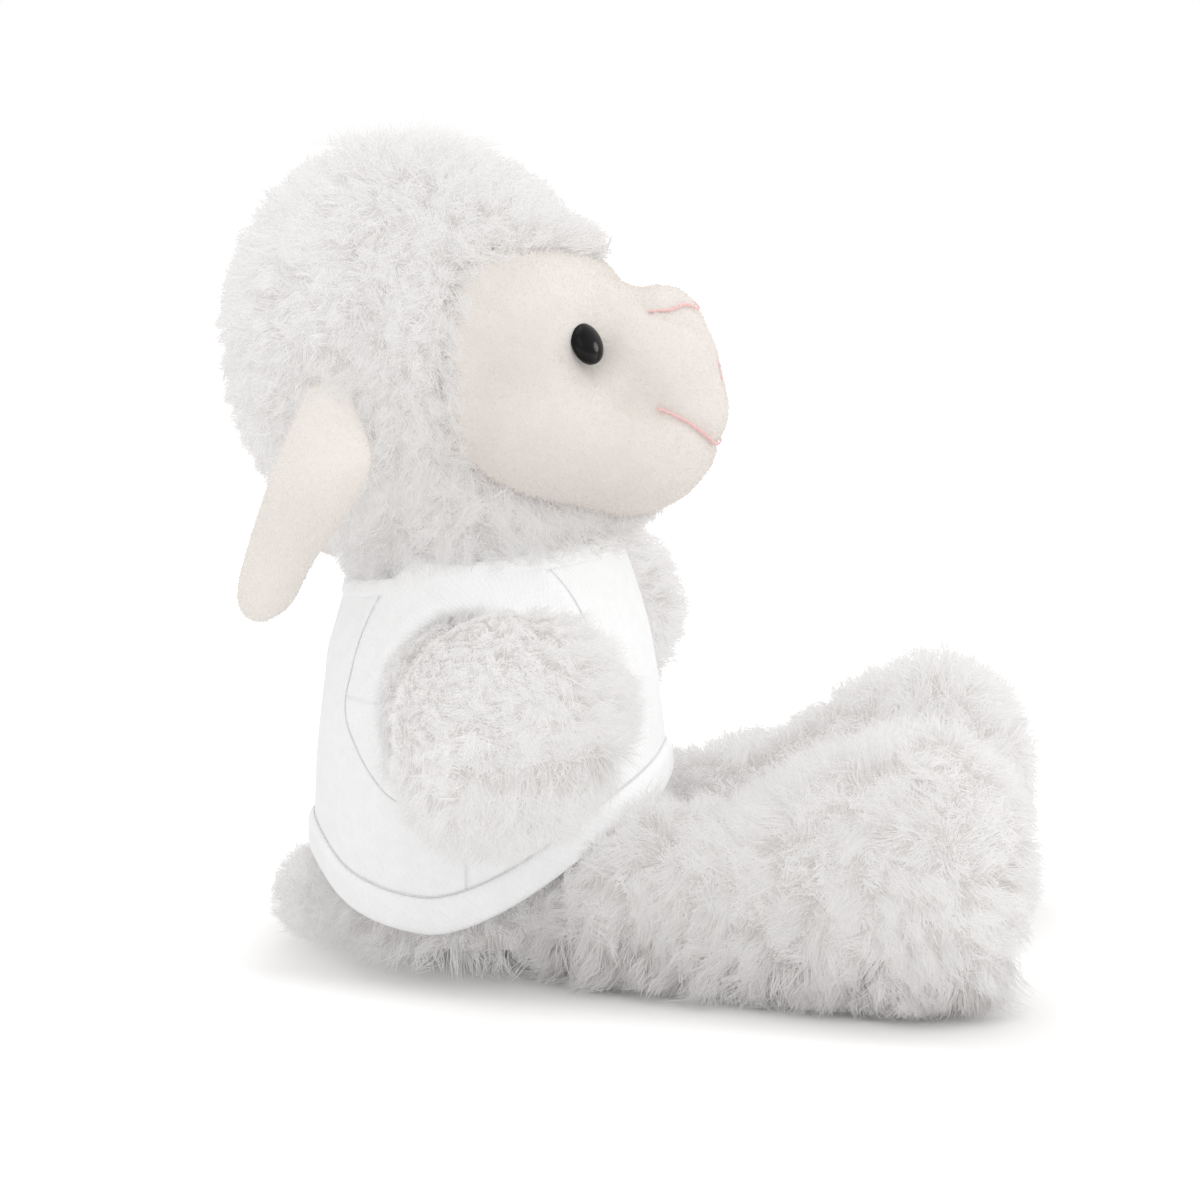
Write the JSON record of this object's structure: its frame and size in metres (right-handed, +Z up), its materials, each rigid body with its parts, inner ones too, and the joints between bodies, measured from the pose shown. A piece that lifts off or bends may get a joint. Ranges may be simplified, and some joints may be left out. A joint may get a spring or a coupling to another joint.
{
  "type": "plush lamb",
  "caption": "Stuffed plush lamb sitting with legs forward, curly wool pile, cream velour face and ears, white sleeveless knit tee, limbs that lift and a head that turns and nods.",
  "frame": {"origin": "on the floor, under the middle of the toy's outline", "axes": "+Z up, the lamb faces -Y, its left side is +X"},
  "size_m": [0.1875, 0.198, 0.1982],
  "materials": {
    "wool_plush": "long-pile white polyester plush, curly",
    "cream_velour": "cream short-pile velour",
    "tee_knit": "white cotton jersey knit",
    "pink_thread": "pink embroidery thread",
    "stuffing": "white polyester fibre filling",
    "pellet_canvas": "plain woven bag of plastic pellets",
    "eye_black": "polished black domed eye",
    "washer_plastic": "white moulded washer"
  },
  "bodies": {
    "torso": {"torso_plush": "wool_plush", "torso_stuffing": "stuffing", "pellet_bag": "pellet_canvas", "tee_front": "tee_knit", "tee_back": "tee_knit", "tee_hem_band": "tee_knit", "tee_neckband": "tee_knit", "tee_sleeve_band_right": "tee_knit", "tee_sleeve_band_left": "tee_knit"},
    "neck": {"neck_stuffing": "stuffing"},
    "head": {"head_wool": "wool_plush", "face_panel": "cream_velour", "head_stuffing": "stuffing", "centre_stitch": "pink_thread", "eye_right": "eye_black", "eye_washer_right": "washer_plastic", "nose_stitch_right": "pink_thread", "mouth_stitch_right": "pink_thread", "eye_left": "eye_black", "eye_washer_left": "washer_plastic", "nose_stitch_left": "pink_thread", "mouth_stitch_left": "pink_thread"},
    "tail": {"tail_plush": "wool_plush"},
    "arm_right": {"arm_right_plush": "wool_plush", "arm_right_stuffing": "stuffing"},
    "leg_right": {"leg_right_plush": "wool_plush", "leg_right_stuffing": "stuffing"},
    "ear_right": {"ear_right": "cream_velour"},
    "arm_left": {"arm_left_plush": "wool_plush", "arm_left_stuffing": "stuffing"},
    "leg_left": {"leg_left_plush": "wool_plush", "leg_left_stuffing": "stuffing"},
    "ear_left": {"ear_left": "cream_velour"}
  },
  "joints": [
    {"name": "neck_turn", "type": "hinge", "parent": "torso", "child": "neck", "pos_m": [0, 0.0335, 0.097], "axis": [0, 0.2317, 0.9728], "range_deg": [-30, 30], "stiffness_Nm_per_rad": 0.3},
    {"name": "head_nod", "type": "hinge", "parent": "neck", "child": "head", "pos_m": [0, 0.0335, 0.097], "axis": [1, 0, 0], "range_deg": [-6, 4.5], "stiffness_Nm_per_rad": 0.8},
    {"name": "tail_wag", "type": "hinge", "parent": "torso", "child": "tail", "pos_m": [0, 0.07052, 0.0125], "axis": [0, 0, 1], "range_deg": [-20, 20], "stiffness_Nm_per_rad": 0.05},
    {"name": "arm_right_lift", "type": "hinge", "parent": "torso", "child": "arm_right", "pos_m": [-0.0429, 0.0335, 0.0675], "axis": [0, 1, 0], "range_deg": [-15, 13], "stiffness_Nm_per_rad": 0.2},
    {"name": "leg_right_lift", "type": "hinge", "parent": "torso", "child": "leg_right", "pos_m": [-0.03, -0.0105, 0.0455], "axis": [-1, 0, 0], "range_deg": [0, 45], "stiffness_Nm_per_rad": 0.2},
    {"name": "ear_right_lift", "type": "hinge", "parent": "head", "child": "ear_right", "pos_m": [-0.04548, 0.066, 0.139], "axis": [0, 1, 0], "range_deg": [0, 40], "stiffness_Nm_per_rad": 0.02},
    {"name": "arm_left_lift", "type": "hinge", "parent": "torso", "child": "arm_left", "pos_m": [0.0429, 0.0335, 0.0675], "axis": [0, -1, 0], "range_deg": [-15, 13], "stiffness_Nm_per_rad": 0.2},
    {"name": "leg_left_lift", "type": "hinge", "parent": "torso", "child": "leg_left", "pos_m": [0.03, -0.0105, 0.0455], "axis": [-1, 0, 0], "range_deg": [0, 45], "stiffness_Nm_per_rad": 0.2},
    {"name": "ear_left_lift", "type": "hinge", "parent": "head", "child": "ear_left", "pos_m": [0.04548, 0.066, 0.139], "axis": [0, -1, 0], "range_deg": [0, 40], "stiffness_Nm_per_rad": 0.02}
  ]
}
